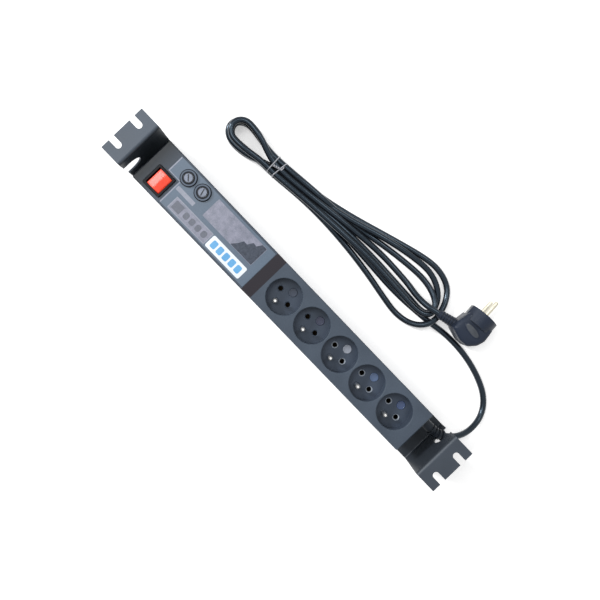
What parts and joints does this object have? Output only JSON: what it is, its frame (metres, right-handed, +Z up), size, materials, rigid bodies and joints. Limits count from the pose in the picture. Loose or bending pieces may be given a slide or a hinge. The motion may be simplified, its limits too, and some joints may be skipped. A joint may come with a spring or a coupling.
{
  "type": "rack power strip",
  "caption": "Rack-mount power strip with pin-earth sockets, rocker switch, two fuse holders, recessed rack ears and a tied mains cord with plug.",
  "frame": {"origin": "middle of the strip's length and width, on the plane under the bracket feet", "axes": "+X along the strip from the switch end to the cord end, +Y to the side where the cord lies, +Z up out of the socket face"},
  "size_m": [0.485, 0.1883, 0.062],
  "materials": {
    "housing": "moulded, fine satin texture, slate grey",
    "screw_steel": "zinc plated",
    "bracket_paint": "dark grey satin powder coat on folded sheet",
    "socket_plastic": "moulded, dark slate",
    "pin_nickel": "nickel plated brass",
    "socket_disc": "glossy moulded disc",
    "brass": "stamped brass strip",
    "switch_black": "moulded, semi-gloss",
    "rocker_red": "translucent red, polished",
    "lamp_glass": "neon lamp",
    "fuse_black": "moulded, semi-gloss",
    "fuse_head": "grey moulded cap with a screwdriver slot",
    "fuse_glass": "glass tube with nickel end caps",
    "label": "thin grey plate with a pale border",
    "board_green": "circuit board",
    "choke_ferrite": "wound ferrite ring",
    "capacitor_yellow": "boxed film capacitor",
    "varistor_blue": "dipped disc",
    "terminal_grey": "screw terminal block",
    "core_brown": "PVC insulated core",
    "core_blue": "PVC insulated core",
    "core_earth": "PVC insulated core, green and yellow",
    "relief_rubber": "moulded flexible strain relief",
    "cord_black": "black PVC sheath, slightly glossy",
    "tie_wire": "plastic covered twist tie",
    "plug_black": "moulded plug, satin"
  },
  "bodies": {
    "root": {"bracket_cord_end": "bracket_paint", "bracket_screws": "screw_steel", "bracket_switch_end": "bracket_paint", "cord_hank": "cord_black", "cord_inner": "cord_black", "cord_lead": "cord_black", "earth_bar": "brass", "earth_pin_1": "pin_nickel", "earth_pin_2": "pin_nickel", "earth_pin_3": "pin_nickel", "earth_pin_4": "pin_nickel", "earth_pin_5": "pin_nickel", "filter_board": "board_green", "filter_capacitor": "capacitor_yellow", "filter_choke": "choke_ferrite", "filter_varistor": "varistor_blue", "fuse_holder_1": "fuse_black", "fuse_holder_2": "fuse_black", "fuse_nut_1": "fuse_black", "fuse_nut_2": "fuse_black", "hank_tie": "tie_wire", "housing_base": "housing", "housing_cover": "housing", "housing_screws": "screw_steel", "label_plate": "label", "live_bar": "brass", "neutral_bar": "brass", "plug_body": "plug_black", "plug_earth_clips": "pin_nickel", "plug_pins": "pin_nickel", "socket_disc_1": "socket_disc", "socket_disc_2": "socket_disc", "socket_disc_3": "socket_disc", "socket_disc_4": "socket_disc", "socket_disc_5": "socket_disc", "socket_insert_1": "socket_plastic", "socket_insert_2": "socket_plastic", "socket_insert_3": "socket_plastic", "socket_insert_4": "socket_plastic", "socket_insert_5": "socket_plastic", "strain_relief": "relief_rubber", "switch_body": "switch_black", "switch_lamp": "lamp_glass", "terminal_block": "terminal_grey", "wire_bar_live": "core_brown", "wire_bar_neutral": "core_blue", "wire_earth_in": "core_earth", "wire_fuse_link": "core_brown", "wire_live_in": "core_brown", "wire_neutral_in": "core_blue", "wire_switch_live": "core_brown", "wire_switch_neutral": "core_blue"},
    "rocker_body": {"rocker": "rocker_red"},
    "fuse_carrier_1": {"glass_fuse_1": "fuse_glass"},
    "fuse_carrier_2": {"glass_fuse_2": "fuse_glass"},
    "fuse_cap_body_1": {"fuse_cap_1": "fuse_head"},
    "fuse_cap_body_2": {"fuse_cap_2": "fuse_head"}
  },
  "joints": [
    {"name": "rocker_tilt", "type": "hinge", "parent": "root", "child": "rocker_body", "pos_m": [-0.1803, -0.0099, 0.0477], "axis": [0, -1, 0], "range_deg": [0, 22]},
    {"name": "fuse_slide_1", "type": "slide", "parent": "root", "child": "fuse_carrier_1", "axis": [0, 0, 1], "range_m": [0, 0.026]},
    {"name": "fuse_unlock_1", "type": "hinge", "parent": "fuse_carrier_1", "child": "fuse_cap_body_1", "pos_m": [-0.1617, 0.0136, 0.0509], "axis": [0, 0, 1], "range_deg": [0, 90]},
    {"name": "fuse_slide_2", "type": "slide", "parent": "root", "child": "fuse_carrier_2", "axis": [0, 0, 1], "range_m": [0, 0.026]},
    {"name": "fuse_unlock_2", "type": "hinge", "parent": "fuse_carrier_2", "child": "fuse_cap_body_2", "pos_m": [-0.1414, 0.0136, 0.0509], "axis": [0, 0, 1], "range_deg": [0, 90]}
  ]
}
